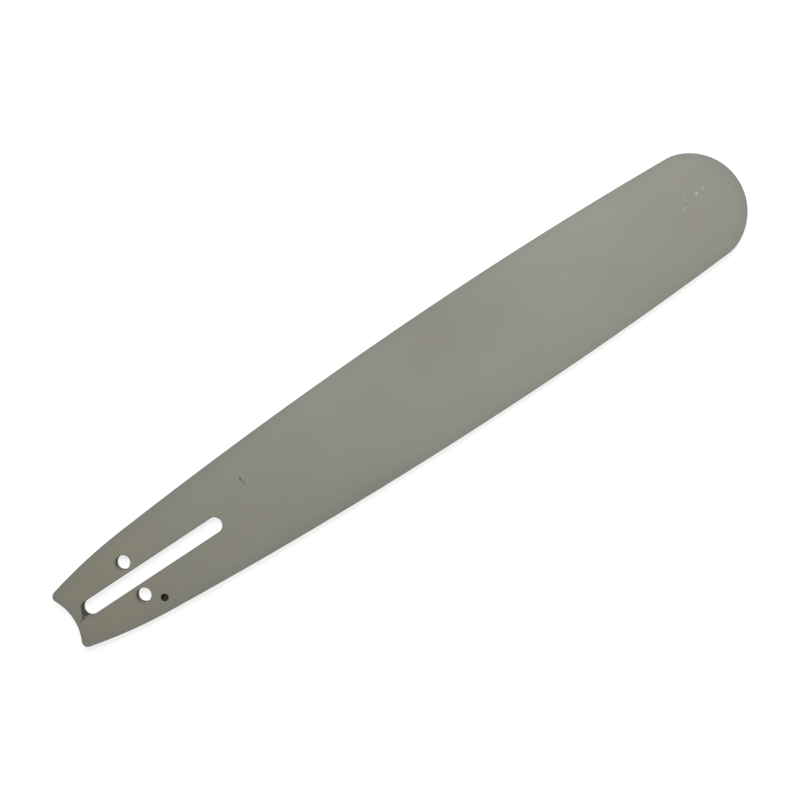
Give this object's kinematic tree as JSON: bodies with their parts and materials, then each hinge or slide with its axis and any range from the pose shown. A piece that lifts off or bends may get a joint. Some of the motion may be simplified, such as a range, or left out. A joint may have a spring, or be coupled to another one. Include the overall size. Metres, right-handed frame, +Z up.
{
  "type": "chainsaw guide bar",
  "caption": "Hard-nose chainsaw guide bar: flat coated steel blade with a chain groove round its edge, and a stud slot, tensioner holes and oil inlets at its hollow tail.",
  "frame": {"origin": "middle of the bar's box, on the surface it lies on", "axes": "+X from the tail to the nose, +Y across the blade, +Z up out of the face that the picture shows"},
  "size_m": [0.4838, 0.0768, 0.0048],
  "materials": {
    "bar_coat": "matte grey-olive coat on steel, faintly mottled, thin and rubbed along the rails"
  },
  "bodies": {
    "root": {"guide_bar": "bar_coat"}
  },
  "joints": []
}
